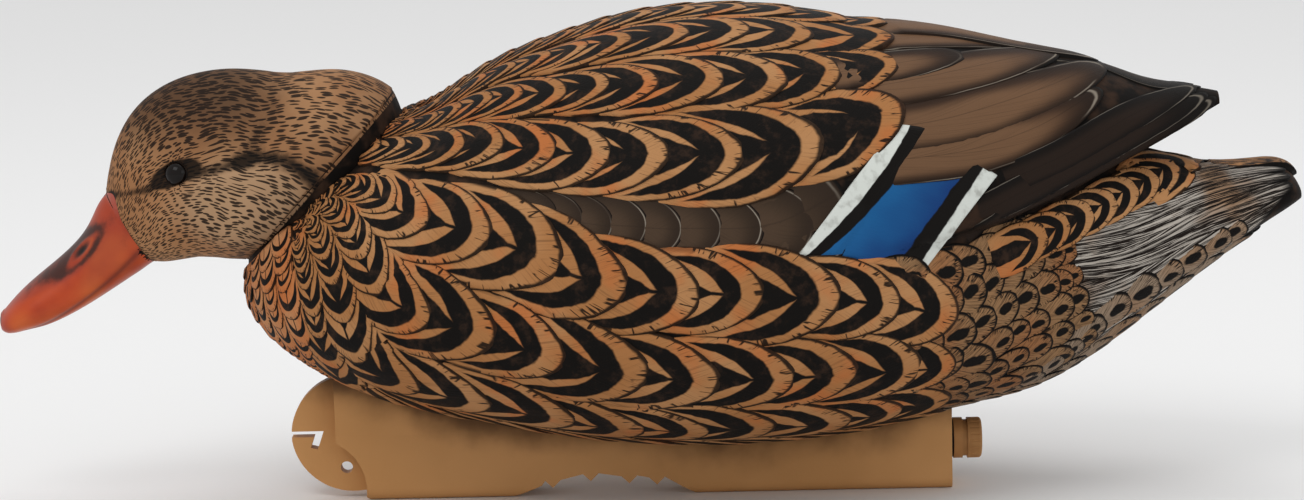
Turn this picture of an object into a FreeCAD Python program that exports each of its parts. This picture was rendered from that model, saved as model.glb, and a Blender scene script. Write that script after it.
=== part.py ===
"""Floating hen mallard decoy with a turning head, a hollow body and a sand-weighted keel.

Frame: millimetres. X runs from the bill (-) to the tail (+), Y to the bird's right, Z up.
The origin is under the middle of the decoy, on the surface that the keel stands on.
Each function below makes one piece; main() writes one STEP file per piece to parts/.
"""

import FreeCAD, Part
import os
from math import cos, hypot, pi, sin, sqrt

Vector = FreeCAD.Vector
UP = Vector(0, 0, 1)
ALONG = Vector(1, 0, 0)
ACROSS = Vector(0, 1, 0)

# Driving dimensions.
WALL = 2.5             # moulded wall of the body and the head
FEATHER_ROOM = 1.2     # the body's smooth skin lies this far inside its outlines below, under the feathers
RUNNING_GAP = 0.3      # between the neck ball and its socket
TURNING_GAP = 0.05     # radial, between a turning shank and its hole
RING_POINTS = 24       # points on each cross-section

# The neck: a ball on the head sits in a socket in the body and turns on a tilted axis.
NECK_TOP = (-82.8, 135.6)      # x, z where the ball's rim meets the back of the neck
NECK_FRONT = (-132.8, 81.3)    # x, z where it meets the throat
NECK_DEPTH = 13.5              # from the ball's centre to the rim's plane
RIM_STEP = 0.3                 # how far the ball's rim stands out of the neck

# Body sections that fan round the breast: top x, z; bottom x, z; half width.
BREAST_SECTIONS = [
    ((-93.0, 130.0), (-139.0, 86.0), 30.0),
    ((-85.5, 127.5), (-132.8, 81.0), 33.0),
    ((-80.5, 128.6), (-132.8, 71.0), 39.2),
    ((-79.0, 128.8), (-127.4, 59.0), 48.5),
    ((-77.0, 129.6), (-115.2, 48.8), 57.5),
    ((-73.5, 131.2), (-97.0, 38.8), 65.0),
    ((-66.5, 134.4), (-72.0, 31.0), 70.5),
]
# Behind the breast the sections stand upright, and three outlines give their sizes.
BACK_LINE = [(-50, 144.4), (-15, 157.4), (20, 162.3), (50, 160.3), (75, 154.5), (100, 146),
             (125, 134), (150, 119), (168, 109.5), (190, 105.8), (210, 106.0), (215.3, 100.8)]
BELLY_LINE = [(-98, 38.6), (-72, 31), (-50, 26.4), (-17, 20.6), (25, 18.2), (66, 21),
              (101, 27.6), (127, 33.5), (149, 45), (168, 59.5), (191, 77), (215.3, 93.0)]
SIDE_LINE = [(-50, 75.5), (-10, 82.5), (15, 83.5), (42, 81), (68, 75), (92, 64.5),
             (115, 52.5), (138, 41.5), (161, 33.5), (181, 28.5), (198, 25), (210, 22.5), (215.3, 15)]
BODY_STATIONS = [-50, -28, -5, 18, 42, 66, 88, 108, 127, 146, 164, 182, 200, 211, 215.3]
BODY_WAIST = 0.46      # height of the widest place, as a share of the section's height
BODY_POWERS = (2.0, 2.4)
CAVITY_END = 146       # the body is solid behind this, where the tail gets thin

# Folded wings over the rump: x, ridge z, half width, z of the lower edge.
WING_SECTIONS = [(60, 155.6, 72.0, 78.0), (80, 154.3, 70.0, 81.5), (100, 151.4, 62.5, 86.5),
                 (118, 147.2, 54.0, 92.0), (136, 143.3, 44.5, 99.5), (152, 139.2, 35.0, 107.5),
                 (165, 134.4, 26.0, 114.0), (178, 132.0, 16.0, 120.5), (189.5, 130.0, 6.0, 126.0)]
WING_WAIST = 0.16
WING_POWERS = (2.0, 2.6)

# Head sections that fan round the cheek: top x, z; bottom x, z; half width; waist height.
HEAD_SECTIONS = [
    ((-178.6, 104.0), (-163.5, 81.5), 11.0, 0.42),
    ((-177.4, 109.0), (-160.0, 81.2), 14.6, 0.42),
    ((-174.9, 118.6), (-155.5, 81.6), 18.0, 0.42),
    ((-167.6, 131.4), (-151.5, 82.2), 21.3, 0.42),
    ((-154.4, 140.4), (-148.7, 82.6), 23.8, 0.42),
    ((-136.0, 143.7), (-146.4, 82.6), 25.6, 0.43),
    ((-118.2, 142.2), (-142.3, 82.4), 28.2, 0.45),
    ((-100.0, 142.2), (-138.1, 82.0), 32.2, 0.48),
]
HEAD_POWERS = (2.0, 2.3)
# Bill sections, from inside the face to the tip.
BILL_SECTIONS = [
    ((-171.0, 107.0), (-156.0, 84.5), 11.0),
    ((-179.3, 103.0), (-165.0, 80.0), 11.8),
    ((-184.4, 93.6), (-174.0, 74.5), 11.2),
    ((-190.5, 86.1), (-183.0, 68.9), 10.9),
    ((-197.2, 80.4), (-191.5, 64.2), 11.3),
    ((-203.6, 75.3), (-200.0, 60.7), 11.8),
    ((-209.4, 70.0), (-207.0, 59.1), 11.0),
    ((-213.2, 65.8), (-212.0, 58.2), 8.0),
    ((-215.3, 63.4), (-214.9, 59.8), 3.2),
]
BILL_WAIST = 0.36
BILL_POWERS = (1.75, 2.6)

# Eyes: domed buttons on short stems, pressed into the head.
EYE_PLACE = (-152.8, 112.6)
EYE_RADIUS = 3.7
EYE_DOME = 4.4         # radius of the dome's sphere
EYE_STEM_RADIUS = 1.5
EYE_STEM_LENGTH = 5.0

# Neck fastening, along the neck axis from the ball's centre.
SPIGOT_RADIUS = 7.0
SPIGOT_END = 50.0
SPIGOT_BORE_RADIUS = 4.0
SPIGOT_FLANGE_RADIUS = 12.0
SPIGOT_FLANGE_START = 33.0
BARB_RADIUS = 8.7
BARB_START = 46.5
SLIT_WIDTH = 2.0
SLIT_START = 42.5
BUSHING_RADIUS = 9.0
BUSHING_FLANGE_RADIUS = 12.0
BUSHING_FLANGE = (41.0, 42.5)
BUSHING_END = 46.2
SEAL_RADII = (7.4, 11.8)
SEAL_FACE = 38.95
SOCKET_PAD_RADIUS = 14.0

# Keel: a thin fin in front, then a hollow box with a finger grip in the middle of its foot.
KEEL_HALF_WIDTH = 10.5
KEEL_FLARE_HALF_WIDTH = 17.0
KEEL_FLARE_START = 22.0
KEEL_TOP = 45.0        # trimmed by the belly
KEEL_EDGE_RADIUS = 4.0
KEEL_BACK = 99.9
KEEL_WALL = 2.0
FIN_HALF_THICKNESS = 3.0
FIN_BACK = -104.5
LINE_HOLE_PLACE = (-101.6, 10.2)
LINE_HOLE_RADIUS = 2.0
SLOT_WIDTH = 2.0
SLOT_HEIGHT = 21.6     # its middle, where it opens at the front of the fin
CAVITY_ROOF = [(-90.0, 26.0), (-55.0, 19.5), (-25.0, 15.5), (45.0, 15.5), (86.9, 20.0)]
CAVITY_HALF_WIDTH = 8.2

# Keel fastening: two screws from below, through columns in the keel, into the belly.
SCREW_STATIONS = [-71.0, 60.0]
SCREW_HEAD_RADIUS = 4.0
SCREW_HEAD_HEIGHT = 3.0
SCREW_SHANK_RADIUS = 2.0
SCREW_HOLE_RADIUS = 2.25
SCREW_SEAT = 8.5       # height of the counterbore's floor
COUNTERBORE_RADIUS = 4.8
COLUMN_RADIUS = 6.6
WASHER_THICKNESS = 1.2
INSERT_RADIUS = 3.6
INSERT_LENGTH = 9.0
BOSS_RADIUS = 6.5
BOSS_HEIGHT = 13.0     # above the belly's outer face
BOSS_DIP = 2.0         # the insert starts this far above the belly's outer face

# Filler plug at the back of the keel.
PLUG_HEIGHT = 15.4
PLUG_SHANK_RADIUS = 4.6
PLUG_SHANK_LENGTH = 12.0
PLUG_CAP_RADIUS = 6.8
PLUG_CAP_LENGTH = 9.4
PLUG_GROOVE = (3.0, 4.6)       # from the cap's inner face
PLUG_GROOVE_DEPTH = 0.7
PLUG_SLOT = (1.6, 2.2)         # width and depth of the coin slot
PLUG_SEAL_SPACE = 1.0  # between the keel's back and the cap
PLUG_SEAL_GAP = 0.05   # on each side of the seal
PLUG_SEAL_RADII = (4.75, 6.4)

# Worked out from those.
RIM_X = (NECK_TOP[0] + NECK_FRONT[0]) / 2
RIM_Z = (NECK_TOP[1] + NECK_FRONT[1]) / 2
RIM_CHORD = hypot(NECK_TOP[0] - NECK_FRONT[0], NECK_TOP[1] - NECK_FRONT[1])
RIM_RADIUS = RIM_CHORD / 2
NECK_AXIS = Vector(NECK_TOP[1] - NECK_FRONT[1], 0, NECK_FRONT[0] - NECK_TOP[0]) / RIM_CHORD
NECK_CENTRE = Vector(RIM_X, 0, RIM_Z) - NECK_AXIS * NECK_DEPTH
BALL_RADIUS = sqrt(RIM_RADIUS ** 2 + NECK_DEPTH ** 2)


def between(points, x):
    """Height of the smooth line through a few points, at x (a Catmull-Rom curve)."""
    last = len(points) - 2
    i = max(0, min(last, sum(1 for p in points[1:-1] if p[0] <= x)))
    (x0, y0), (x1, y1) = points[i], points[i + 1]

    def slope(k):
        a, b = points[max(k - 1, 0)], points[min(k + 1, last + 1)]
        return (b[1] - a[1]) / (b[0] - a[0])

    w = x1 - x0
    t = (x - x0) / w
    return (y0 * (1 + 2 * t) * (1 - t) ** 2 + slope(i) * w * t * (1 - t) ** 2
            + y1 * t * t * (3 - 2 * t) - slope(i + 1) * w * t * t * (1 - t))


def ring(top, bottom, half_width, waist, powers, inset=0.0):
    """Points of a rounded section in the plane through two points of the middle plane."""
    low = Vector(bottom[0], 0, bottom[1])
    rise = Vector(top[0], 0, top[1]) - low
    height = rise.Length
    rise.normalize()
    middle = height * waist
    points = []
    for k in range(RING_POINTS):
        t = 2 * pi * k / RING_POINTS
        power, reach = (powers[0], height - middle) if sin(t) >= 0 else (powers[1], middle)
        across = (half_width - inset) * abs(cos(t)) ** (2 / power) * (1 if cos(t) > 0 else -1)
        up = (reach - inset) * abs(sin(t)) ** (2 / power) * (1 if sin(t) > 0 else -1)
        points.append(low + rise * (middle + up) + ACROSS * across)
    return points


def skin(rings):
    """A smooth solid whose surface passes through every ring, closed by a flat face at each end."""
    turns = [k / RING_POINTS for k in range(RING_POINTS + 1)]
    sections = []
    for points in rings:
        curve = Part.BSplineCurve()
        curve.interpolate(Points=points, PeriodicFlag=True, Parameters=turns)
        sections.append(curve)
    # Sections further apart get a wider step along the length.
    steps = [0.0]
    for a, b in zip(rings, rings[1:]):
        steps.append(steps[-1] + sum((p - q).Length for p, q in zip(a, b)) / RING_POINTS)
    rows = []
    for places in zip(*[section.getPoles() for section in sections]):
        line = Part.BSplineCurve()
        line.interpolate(Points=list(places), Parameters=steps)
        rows.append(line)
    surface = Part.BSplineSurface()
    surface.buildFromPolesMultsKnots(
        [row.getPoles() for row in rows], sections[0].getMultiplicities(),
        rows[0].getMultiplicities(), sections[0].getKnots(), rows[0].getKnots(),
        True, False, sections[0].Degree, rows[0].Degree)
    ends = [Part.Face(Part.Wire(sections[i].toShape())) for i in (0, -1)]
    shell = Part.Shell([surface.toShape()] + ends)
    shell.sewShape()
    solid = Part.Solid(shell)
    if solid.Volume < 0:
        solid.reverse()
    return solid


def cylinder(radius, start, axis, length):
    return Part.makeCylinder(radius, length, start, axis)


def neck_cylinder(radius, start, end):
    """A cylinder on the neck axis between two distances from the ball's centre."""
    return cylinder(radius, NECK_CENTRE + NECK_AXIS * start, NECK_AXIS, end - start)


def tube(outer, inner, start, axis, length):
    return cylinder(outer, start, axis, length).cut(cylinder(inner, start, axis, length))


def one_piece(shape):
    """The shape as one solid, with the seams that booleans leave removed."""
    shape = shape.removeSplitter()
    solids = sorted(shape.Solids, key=lambda s: s.Volume)
    return solids[-1]


def body_form(depth=0.0):
    """The whole body from the neck to the tail, or the same form this much further in."""
    inset = FEATHER_ROOM + depth
    rings = [ring(top, bottom, width, BODY_WAIST, BODY_POWERS, inset)
             for top, bottom, width in BREAST_SECTIONS]
    for x in BODY_STATIONS:
        if depth and x > CAVITY_END:
            break
        rings.append(ring((x, between(BACK_LINE, x)), (x, between(BELLY_LINE, x)),
                          between(SIDE_LINE, x), BODY_WAIST, BODY_POWERS, inset))
    return skin(rings)


def wing_form():
    """The folded wings as one arched cover over the rump, ending in the wing tips."""
    return skin([ring((x, ridge), (x, edge), width, WING_WAIST, WING_POWERS)
                 for x, ridge, width, edge in WING_SECTIONS])


def belly_height(x):
    return between(BELLY_LINE, x) + FEATHER_ROOM


def body_shell():
    """Hollow moulded body with the neck socket, the folded wings and bosses for the keel's screws."""
    socket_radius = BALL_RADIUS + RUNNING_GAP
    outside = body_form().fuse(wing_form())
    inside = body_form(WALL)
    inside = inside.cut(Part.makeSphere(socket_radius + WALL, NECK_CENTRE))
    pad = neck_cylinder(SOCKET_PAD_RADIUS, socket_radius, BUSHING_END)
    inside = inside.cut(pad)
    for x in SCREW_STATIONS:
        foot = Vector(x, 0, belly_height(x) - 2)
        inside = inside.cut(cylinder(BOSS_RADIUS, foot, UP, BOSS_HEIGHT + 2))
    above_rim = neck_cylinder(2 * BALL_RADIUS, -2 * BALL_RADIUS, NECK_DEPTH - RIM_STEP)
    shell = outside.cut(Part.makeSphere(socket_radius, NECK_CENTRE)).cut(above_rim).cut(inside)
    shell = shell.cut(neck_cylinder(BUSHING_RADIUS, socket_radius - 1, BUSHING_END + 1))
    shell = shell.cut(neck_cylinder(BUSHING_FLANGE_RADIUS, socket_radius - 3, BUSHING_FLANGE[1]))
    for x in SCREW_STATIONS:
        belly = belly_height(x)
        shell = shell.cut(cylinder(SCREW_HOLE_RADIUS, Vector(x, 0, belly - 3), UP, 14))
        shell = shell.cut(cylinder(INSERT_RADIUS, Vector(x, 0, belly + BOSS_DIP), UP, INSERT_LENGTH))
    return one_piece(shell)


def rim_ring(depth, radius):
    """A round section of the neck, this far below the rim."""
    centre = Vector(RIM_X, 0, RIM_Z) + NECK_AXIS * depth
    across = NECK_AXIS.cross(ACROSS) * radius
    top, bottom = centre - across, centre + across
    if top.z < bottom.z:
        top, bottom = bottom, top
    return ring((top.x, top.z), (bottom.x, bottom.z), radius, 0.5, (2.0, 2.0))


def head_form(inset=0.0):
    """Head from the face to the neck's rim, with the ball below the rim."""
    rings = []
    for top, bottom, width, waist in HEAD_SECTIONS[2 if inset else 0:]:
        rings.append(ring(top, bottom, width, waist, HEAD_POWERS, inset))
    rings.append(rim_ring(0, RIM_RADIUS - RIM_STEP - inset))
    rings.append(rim_ring(8, RIM_RADIUS - 6 - inset))
    ball = Part.makeSphere(BALL_RADIUS - inset, NECK_CENTRE)
    below_rim = neck_cylinder(2 * BALL_RADIUS, NECK_DEPTH, 2 * BALL_RADIUS)
    return skin(rings).cut(below_rim).fuse(ball.common(below_rim))


def bill_form():
    rings = [ring(top, bottom, width, BILL_WAIST, BILL_POWERS) for top, bottom, width in BILL_SECTIONS]
    return skin(rings)


def eye_form(side):
    """One eye: a dome that stands out of the face and a stem that goes into it."""
    face = head_half_width_at_eye()
    rim = Vector(EYE_PLACE[0], side * face, EYE_PLACE[1])
    out = Vector(-0.17, side * 0.97, 0.17)
    out.normalize()
    rise = EYE_DOME - sqrt(EYE_DOME ** 2 - EYE_RADIUS ** 2)
    button = cylinder(EYE_RADIUS, rim - out * 1.6, out, 1.6)
    dome = Part.makeSphere(EYE_DOME, rim + out * (rise - EYE_DOME))
    dome = dome.common(cylinder(EYE_RADIUS, rim, out, 2 * EYE_DOME))
    stem = cylinder(EYE_STEM_RADIUS, rim - out * (1.6 + EYE_STEM_LENGTH), out, EYE_STEM_LENGTH)
    return button.fuse(dome).fuse(stem)


def head_half_width_at_eye():
    """How far the face's surface is from the middle plane at the eye."""
    x, z = EYE_PLACE
    probe = Part.makeLine(Vector(x, 0, z), Vector(x, 60, z))
    return head_form().common(probe).Length


def head_shell():
    """Hollow head with its bill, the eye seats and the neck ball."""
    shell = head_form().fuse(bill_form()).cut(head_form(WALL))
    shell = shell.cut(neck_cylinder(SPIGOT_RADIUS, SPIGOT_FLANGE_START, SPIGOT_END))
    for side in (-1, 1):
        shell = shell.cut(eye_form(side))
    return one_piece(shell)


def neck_spigot():
    """Snap-in pivot: a flange bonded inside the head, a shank, and a slit, barbed end."""
    wall_inside = BALL_RADIUS - WALL
    shank = neck_cylinder(SPIGOT_RADIUS, SPIGOT_FLANGE_START, SPIGOT_END)
    flange = neck_cylinder(SPIGOT_FLANGE_RADIUS, SPIGOT_FLANGE_START, wall_inside)
    flange = flange.common(Part.makeSphere(wall_inside, NECK_CENTRE))
    barb = Part.makeCone(BARB_RADIUS, SPIGOT_RADIUS - 1, SPIGOT_END - BARB_START,
                         NECK_CENTRE + NECK_AXIS * BARB_START, NECK_AXIS)
    pivot = shank.fuse(flange).fuse(barb)
    pivot = pivot.cut(neck_cylinder(SPIGOT_BORE_RADIUS, SLIT_START, SPIGOT_END + 1))
    # The slits leave four fingers that spring inwards through the bushing.
    reach = 2 * BARB_RADIUS + 2
    slit = Part.makeBox(reach, SLIT_WIDTH, SPIGOT_END - SLIT_START + 1,
                        Vector(-reach / 2, -SLIT_WIDTH / 2, SLIT_START))
    for turn in (0, 90):
        cutter = slit.copy()
        cutter.rotate(Vector(0, 0, 0), UP, turn)
        cutter.Placement = FreeCAD.Placement(
            NECK_CENTRE, FreeCAD.Rotation(UP, NECK_AXIS)).multiply(cutter.Placement)
        pivot = pivot.cut(cutter)
    return one_piece(pivot)


def neck_bushing():
    """Flanged bush that lines the socket's hole."""
    bore = SPIGOT_RADIUS + TURNING_GAP
    sleeve = neck_cylinder(BUSHING_RADIUS, BUSHING_FLANGE[0], BUSHING_END)
    flange = neck_cylinder(BUSHING_FLANGE_RADIUS, *BUSHING_FLANGE)
    return one_piece(sleeve.fuse(flange).cut(neck_cylinder(bore, 40, 50)))


def neck_seal():
    """Flat rubber ring that closes most of the gap in front of the bush."""
    inner, outer = SEAL_RADII
    return neck_cylinder(outer, SEAL_FACE, BUSHING_FLANGE[0]).cut(neck_cylinder(inner, 38, 42))


def plate(edges, half_thickness):
    """A flat outline in the XZ plane, thickened equally to both sides."""
    face = Part.Face(Part.Wire(edges))
    face.translate(Vector(0, -half_thickness, 0))
    return face.extrude(Vector(0, 2 * half_thickness, 0))


def point(x, z):
    return Vector(x, 0, z)


def lines(places):
    points = [point(*p) for p in places]
    return [Part.LineSegment(a, b).toShape() for a, b in zip(points, points[1:])]


def arc(a, b, c):
    return Part.Arc(point(*a), point(*b), point(*c)).toShape()


def foot_line(start, end):
    """Foot of the keel from the front block to the back, with the grip's four ridges."""
    places = [start, (-46.0, 0.0), (-36.5, 4.0)]
    for x, z in ((-32.8, 3.2), (-20.2, 5.2), (-7.4, 4.2), (1.8, 3.6)):
        places += [(x - 2.6, z + 2.4), (x, z), (x + 2.6, z + 2.6)]
    return lines(places + [(15.0, 0.0), end])


def fin():
    """Thin front fin with a hooked slot and a round hole for the anchor line."""
    tip = -119.6
    edges = [arc((-103.0, 41.0), (-115.6, 33.4), (tip, 23.5))]
    edges += lines([(tip, 23.5), (tip, 19.5)])
    edges += [arc((tip, 19.5), (-114.2, 8.6), (-96.0, 2.4))]
    edges += lines([(-96.0, 2.4), (-90.0, 2.4), (-90.0, 41.0), (-103.0, 41.0)])
    blade = plate(edges, FIN_HALF_THICKNESS)
    half = SLOT_WIDTH / 2
    mouth = plate(lines([(-121.0, SLOT_HEIGHT - half), (-112.2, SLOT_HEIGHT - half),
                         (-113.4, 17.0), (-111.1, 16.4), (-109.0, SLOT_HEIGHT + half),
                         (-121.0, SLOT_HEIGHT + half), (-121.0, SLOT_HEIGHT - half)]),
                  FIN_HALF_THICKNESS + 1)
    x, z = LINE_HOLE_PLACE
    hole = cylinder(LINE_HOLE_RADIUS, Vector(x, -10, z), ACROSS, 20)
    return blade.cut(mouth).cut(hole)


def keel_box():
    """The thick part of the keel, as its side outline and its end outline in common."""
    back_foot = (KEEL_BACK, 0.0)
    edges = lines([(FIN_BACK, KEEL_TOP), (FIN_BACK, 19.5)])
    edges += [arc((FIN_BACK, 19.5), (-97.6, 13.6), (-94.8, 1.2))]
    edges += lines([(-94.8, 1.2), (-93.6, 0.0)])
    edges += foot_line((-93.6, 0.0), back_foot)
    edges += lines([back_foot, (KEEL_BACK, KEEL_TOP), (FIN_BACK, KEEL_TOP)])
    side = plate(edges, 2 * KEEL_FLARE_HALF_WIDTH)
    w, r = KEEL_HALF_WIDTH, KEEL_EDGE_RADIUS
    corner = r * (1 - sqrt(0.5))

    def at(y, z):
        return Vector(-200, y, z)

    half = [Part.Arc(at(w - r, 0), at(w - corner, corner), at(w, r)).toShape(),
            Part.LineSegment(at(w, r), at(w, KEEL_FLARE_START)).toShape(),
            Part.Arc(at(w, KEEL_FLARE_START), at(w + 1.6, KEEL_FLARE_START + 10),
                     at(KEEL_FLARE_HALF_WIDTH, KEEL_TOP)).toShape()]
    other = [e.mirror(Vector(0, 0, 0), ACROSS) for e in half]
    wide = KEEL_FLARE_HALF_WIDTH
    closing = [Part.LineSegment(at(wide, KEEL_TOP), at(-wide, KEEL_TOP)).toShape(),
               Part.LineSegment(at(r - w, 0), at(w - r, 0)).toShape()]
    outline = Part.Wire(Part.__sortEdges__(half + other + closing))
    return side.common(Part.Face(outline).extrude(Vector(400, 0, 0)))


def ballast_form():
    """The space inside the keel that holds the sand, clear of the screw columns."""
    floor = KEEL_WALL + 1
    front, back = CAVITY_ROOF[0][0], CAVITY_ROOF[-1][0]
    places = CAVITY_ROOF + [(back, floor), (18.0, floor), (7.0, 9.0), (-36.0, 9.0),
                            (-48.0, floor), (front, floor), CAVITY_ROOF[0]]
    space = plate(lines(places), CAVITY_HALF_WIDTH)
    for x in SCREW_STATIONS:
        space = space.cut(cylinder(COLUMN_RADIUS, Vector(x, 0, -1), UP, 40))
    return space


def keel_shell():
    """Hollow keel, shaped to the belly on top."""
    keel = keel_box().fuse(fin())
    keel = keel.cut(body_form())
    keel = keel.cut(ballast_form())
    plug_hole = PLUG_SHANK_RADIUS + TURNING_GAP
    start = Vector(KEEL_BACK - PLUG_SHANK_LENGTH - 1.0, 0, PLUG_HEIGHT)
    keel = keel.cut(cylinder(plug_hole, start, ALONG, PLUG_SHANK_LENGTH + 5))
    for x in SCREW_STATIONS:
        keel = keel.cut(cylinder(COUNTERBORE_RADIUS, Vector(x, 0, -1), UP, SCREW_SEAT + 1))
        keel = keel.cut(cylinder(SCREW_HOLE_RADIUS, Vector(x, 0, 0), UP, KEEL_TOP))
    return one_piece(keel)


def keel_screws():
    """Pan-head screws with a cross recess, seated on their washers."""
    screws = []
    for x in SCREW_STATIONS:
        head_top = SCREW_SEAT - WASHER_THICKNESS
        head_foot = head_top - SCREW_HEAD_HEIGHT
        length = belly_height(x) + BOSS_DIP + INSERT_LENGTH - 0.5 - head_top
        head = cylinder(SCREW_HEAD_RADIUS, Vector(x, 0, head_foot), UP, SCREW_HEAD_HEIGHT)
        head = head.makeFillet(0.8, [head.Edges[i] for i in range(len(head.Edges))
                                     if abs(head.Edges[i].BoundBox.ZMax - head_foot) < 0.01])
        shank = cylinder(SCREW_SHANK_RADIUS, Vector(x, 0, head_top), UP, length)
        screw = head.fuse(shank)
        for size in ((4.6, 1.0), (1.0, 4.6)):
            recess = Part.makeBox(size[0], size[1], 1.6,
                                  Vector(x - size[0] / 2, -size[1] / 2, head_foot - 0.1))
            screw = screw.cut(recess)
        screws.append(one_piece(screw))
    return Part.makeCompound(screws)


def screw_washers():
    """Rubber-faced washers that keep water out of the screw columns."""
    return Part.makeCompound([
        tube(SCREW_HEAD_RADIUS + 0.5, SCREW_SHANK_RADIUS,
             Vector(x, 0, SCREW_SEAT - WASHER_THICKNESS), UP, WASHER_THICKNESS)
        for x in SCREW_STATIONS])


def screw_inserts():
    """Brass nuts moulded into the belly's bosses."""
    return Part.makeCompound([
        tube(INSERT_RADIUS, SCREW_SHANK_RADIUS,
             Vector(x, 0, belly_height(x) + BOSS_DIP), UP, INSERT_LENGTH)
        for x in SCREW_STATIONS])


def keel_plug():
    """Screw-in filler plug: plain shank, grooved and ribbed cap, coin slot in its end."""
    seat = KEEL_BACK + PLUG_SEAL_SPACE
    foot = Vector(KEEL_BACK - PLUG_SHANK_LENGTH, 0, PLUG_HEIGHT)
    shank = cylinder(PLUG_SHANK_RADIUS, foot, ALONG, PLUG_SHANK_LENGTH + PLUG_SEAL_SPACE + 1)
    cap = cylinder(PLUG_CAP_RADIUS, Vector(seat, 0, PLUG_HEIGHT), ALONG, PLUG_CAP_LENGTH)
    end_edges = [e for e in cap.Edges if e.BoundBox.XMin > seat + PLUG_CAP_LENGTH - 0.01]
    cap = cap.makeFillet(1.2, end_edges)
    start, end = PLUG_GROOVE
    groove = tube(PLUG_CAP_RADIUS + 1, PLUG_CAP_RADIUS - PLUG_GROOVE_DEPTH,
                  Vector(seat + start, 0, PLUG_HEIGHT), ALONG, end - start)
    cap = cap.cut(groove)
    width, depth = PLUG_SLOT
    slot = Part.makeBox(depth + 1, width, 30,
                        Vector(seat + PLUG_CAP_LENGTH - depth, -width / 2, PLUG_HEIGHT - 15))
    # Finger notches round the end of the cap.
    notches = 18
    for k in range(notches):
        turn = 2 * pi * k / notches
        centre = Vector(seat + end + 0.8, (PLUG_CAP_RADIUS + 0.35) * cos(turn),
                        PLUG_HEIGHT + (PLUG_CAP_RADIUS + 0.35) * sin(turn))
        cap = cap.cut(cylinder(0.6, centre, ALONG, PLUG_CAP_LENGTH))
    return one_piece(shank.fuse(cap).cut(slot))


def plug_seal():
    """Rubber washer that rides out with the plug."""
    inner, outer = PLUG_SEAL_RADII
    thickness = PLUG_SEAL_SPACE - 2 * PLUG_SEAL_GAP
    return tube(outer, inner, Vector(KEEL_BACK + PLUG_SEAL_GAP, 0, PLUG_HEIGHT), ALONG, thickness)


def main():
    os.makedirs("parts", exist_ok=True)
    pieces = {
        "body_shell": body_shell(),
        "head_shell": head_shell(),
        "eye_left": eye_form(-1),
        "eye_right": eye_form(1),
        "neck_spigot": neck_spigot(),
        "neck_bushing": neck_bushing(),
        "neck_seal": neck_seal(),
        "keel_shell": keel_shell(),
        "ballast_sand": ballast_form(),
        "keel_screws": keel_screws(),
        "screw_washers": screw_washers(),
        "screw_inserts": screw_inserts(),
        "keel_plug": keel_plug(),
        "plug_seal": plug_seal(),
    }
    for name, shape in pieces.items():
        box = shape.BoundBox
        print(name, "valid" if shape.isValid() else "NOT VALID", "solids", len(shape.Solids),
              "volume", round(shape.Volume), "x", round(box.XMin, 2), round(box.XMax, 2),
              "y", round(box.YMin, 2), round(box.YMax, 2), "z", round(box.ZMin, 2), round(box.ZMax, 2))
        shape.exportStep("parts/" + name + ".step")
    print("neck centre", NECK_CENTRE, "axis", NECK_AXIS, "ball radius", round(BALL_RADIUS, 3))


main()
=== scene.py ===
"""Painted plumage, bill, eyes and keel finish for the hen mallard decoy, built on its CAD frame.

Lengths in the tables below are millimetres in the model's frame: X from bill to tail, Z up.
A place on the decoy is given as (x, z, lift, turn): the point where a sight line crosses the middle
plane. Its eye is on the left, VIEW_DISTANCE away, `lift` degrees up and `turn` degrees towards the
front; without them they are SIDE and 0. The place is where the line first meets the decoy.
Everything on the left side is mirrored to the right.
"""
import math
import random
from functools import partialmethod

import bpy
import numpy as np
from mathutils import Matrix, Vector
from mathutils.bvhtree import BVHTree


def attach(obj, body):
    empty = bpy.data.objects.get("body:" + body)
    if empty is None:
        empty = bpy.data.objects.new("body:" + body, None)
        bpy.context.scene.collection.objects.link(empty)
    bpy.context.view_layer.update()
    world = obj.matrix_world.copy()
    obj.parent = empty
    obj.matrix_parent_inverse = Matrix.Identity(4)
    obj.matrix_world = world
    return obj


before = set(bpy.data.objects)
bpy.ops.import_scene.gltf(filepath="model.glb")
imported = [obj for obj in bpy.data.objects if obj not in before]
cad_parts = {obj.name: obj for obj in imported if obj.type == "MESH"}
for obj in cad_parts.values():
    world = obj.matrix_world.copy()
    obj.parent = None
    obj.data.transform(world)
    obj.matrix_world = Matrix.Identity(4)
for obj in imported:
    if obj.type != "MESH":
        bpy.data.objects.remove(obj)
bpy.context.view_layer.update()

MM = 0.001
random.seed(41)

# The neck, in metres: the head's ball turns on a tilted axis in the body's socket.
NECK_CENTRE = Vector((-0.11773, 0, 0.11759))
NECK_AXIS = Vector((0.73563, 0, -0.67738))
RIM_DEPTH = 0.0135     # from the ball's centre to the seam's plane
RIM_LAND = 0.0002      # the socket's flat rim is this thick, and takes no feathers
SOCKET_REACH = 0.0386  # nothing nearer to the ball's centre takes feathers
FEATHER_START = 0.0016 # from the seam's plane to where the body's feathers start
BALL_CLEAR = 0.0391    # the nearest that the body's feathers come to the ball's centre

SOLID_TAIL = 0.15      # x from which the tail's moulding has no hollow
WING_TIPS = (0.158, 0.1105)   # x and z past which the body's skin belongs to the wing tips

VIEW_CENTRE = Vector((0.0017, 0, 0.0808))
VIEW_DISTANCE = 1.4
SIDE = 8.0             # degrees up of the camera, and of the eye for most places
LENS = 116.4           # millimetres, for a 36 mm wide sensor
ROLL = -1.21           # degrees that the camera leans
PAST_THE_MIDDLE = 0.004       # how far past the middle plane a sight line may still meet the skin
OUTSIDE = 0.2          # a distance that is outside the decoy from anywhere inside it


# ---------------------------------------------------------------- surfaces

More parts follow.
